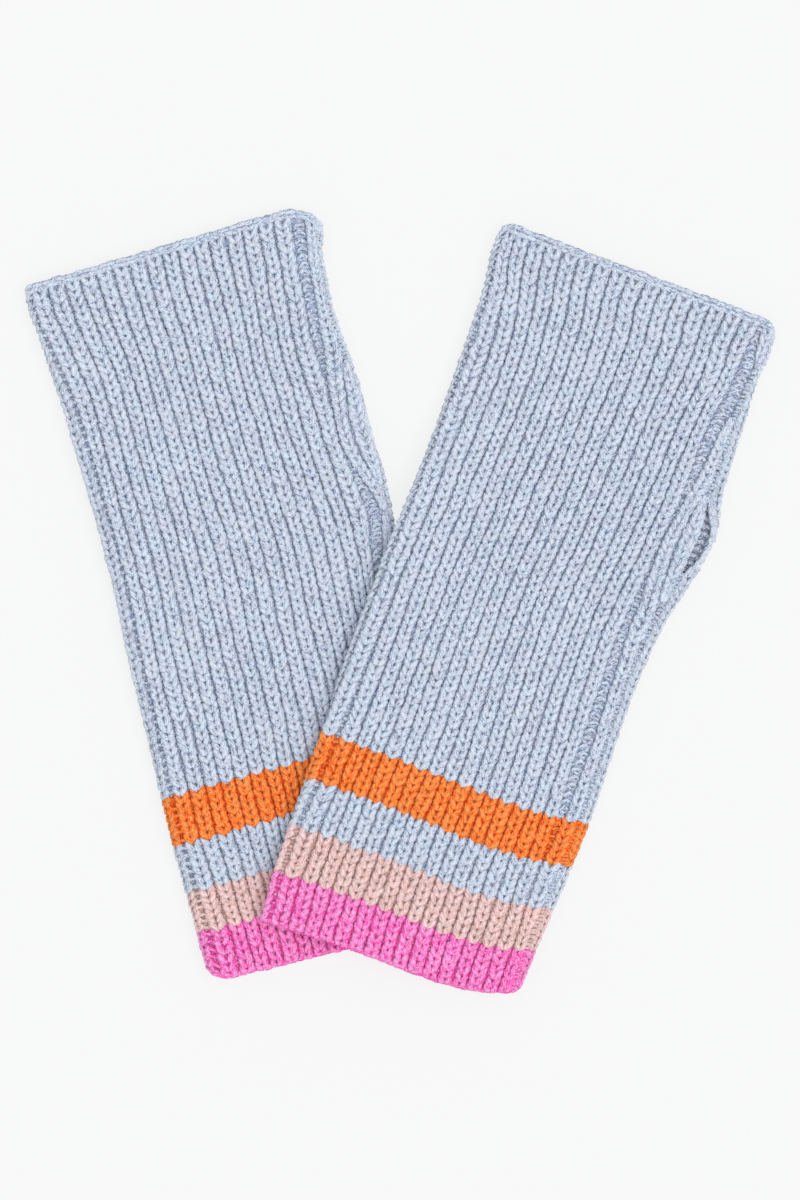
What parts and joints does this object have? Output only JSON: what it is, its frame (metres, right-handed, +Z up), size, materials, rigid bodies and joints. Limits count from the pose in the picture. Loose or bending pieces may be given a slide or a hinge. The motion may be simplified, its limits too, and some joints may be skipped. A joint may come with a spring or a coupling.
{
  "type": "pair of knitted arm warmers",
  "caption": "Two striped rib-knit arm warmers with thumb slits, laid flat and crossed, one over the other.",
  "frame": {"origin": "on the table, under the middle of the pair's bounding box", "axes": "+Z up from the table, +Y towards the hand ends, +X towards the upper warmer's thumb slit"},
  "size_m": [0.24, 0.2502, 0.0115],
  "materials": {
    "pale_blue_wool": "heathered, fuzzy rib knit",
    "orange_wool": "heathered, fuzzy rib knit",
    "dusty_pink_wool": "heathered, fuzzy rib knit",
    "hot_pink_wool": "heathered, fuzzy rib knit"
  },
  "bodies": {
    "root": {"lower_arm_warmer": "pale_blue_wool", "upper_arm_warmer": "pale_blue_wool"}
  },
  "joints": []
}
